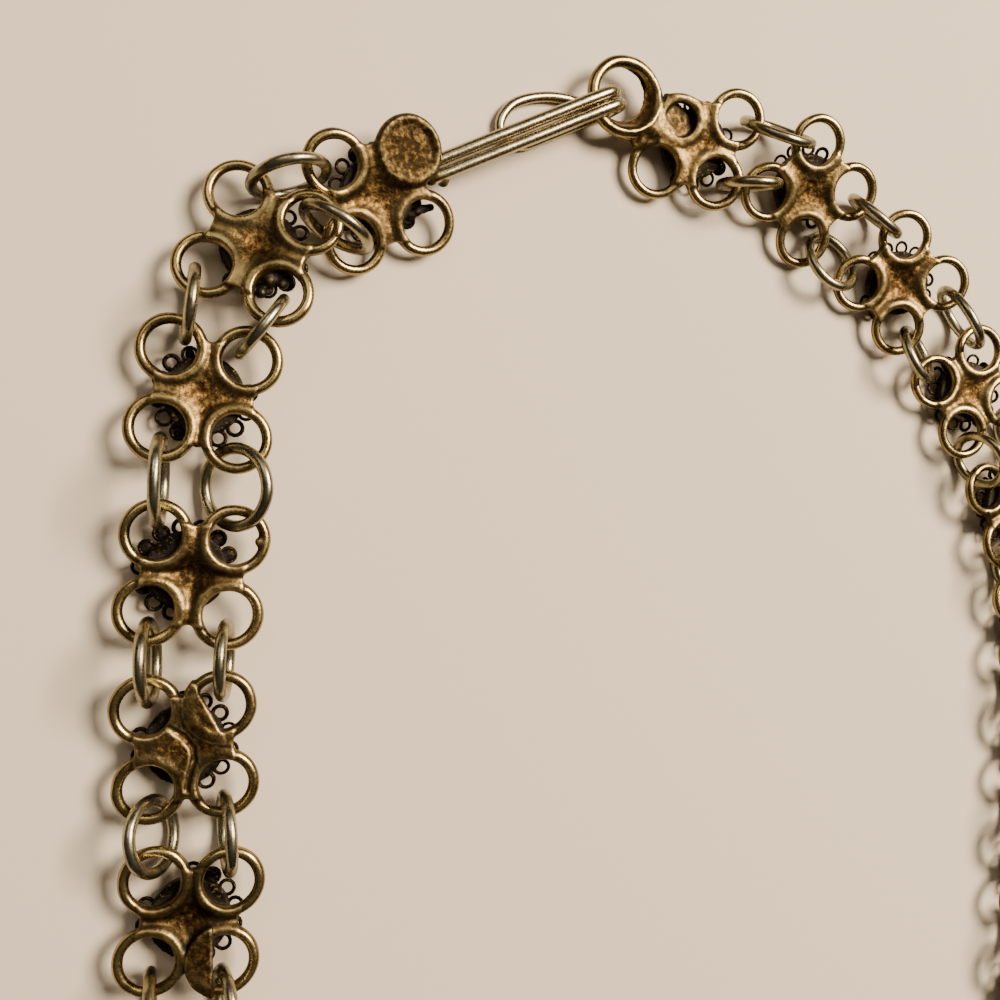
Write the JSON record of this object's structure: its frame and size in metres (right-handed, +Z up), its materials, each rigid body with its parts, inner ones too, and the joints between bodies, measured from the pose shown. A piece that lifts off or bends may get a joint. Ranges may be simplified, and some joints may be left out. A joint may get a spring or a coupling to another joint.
{
  "type": "choker",
  "caption": "Flat choker of square links made of wire rings soldered over a domed plate, joined by loose jump rings and closed by a doubled wire hook in a round catch ring.",
  "frame": {"origin": "centre of the loop's outline on the surface that it lies on", "axes": "+Y from the middle of the loop towards the clasp, +X to the catch ring's side, +Z up from the surface, out of the open backs of the links"},
  "size_m": [0.0878, 0.1366, 0.0072],
  "materials": {
    "worn_gilt": "hand-made gilt metal, dark grime in the recesses and bright rubbed edges",
    "grey_gilt": "paler, greyer metal wire, dull satin"
  },
  "bodies": {
    "root": {"hook_link": "worn_gilt", "link_02": "worn_gilt", "link_03": "worn_gilt", "link_04": "worn_gilt", "link_05": "worn_gilt", "link_06": "worn_gilt", "link_07": "worn_gilt", "link_08": "worn_gilt", "link_09": "worn_gilt", "link_10": "worn_gilt", "link_11": "worn_gilt", "link_12": "worn_gilt", "link_13": "worn_gilt", "link_14": "worn_gilt", "link_15": "worn_gilt", "link_16": "worn_gilt", "link_17": "worn_gilt", "link_18": "worn_gilt", "link_19": "worn_gilt", "link_20": "worn_gilt", "link_21": "worn_gilt", "link_22": "worn_gilt", "link_23": "worn_gilt", "link_24": "worn_gilt", "link_25": "worn_gilt", "link_26": "worn_gilt", "link_27": "worn_gilt", "catch_link": "worn_gilt", "jump_rings_left": "grey_gilt", "jump_rings_right": "grey_gilt"}
  },
  "joints": []
}
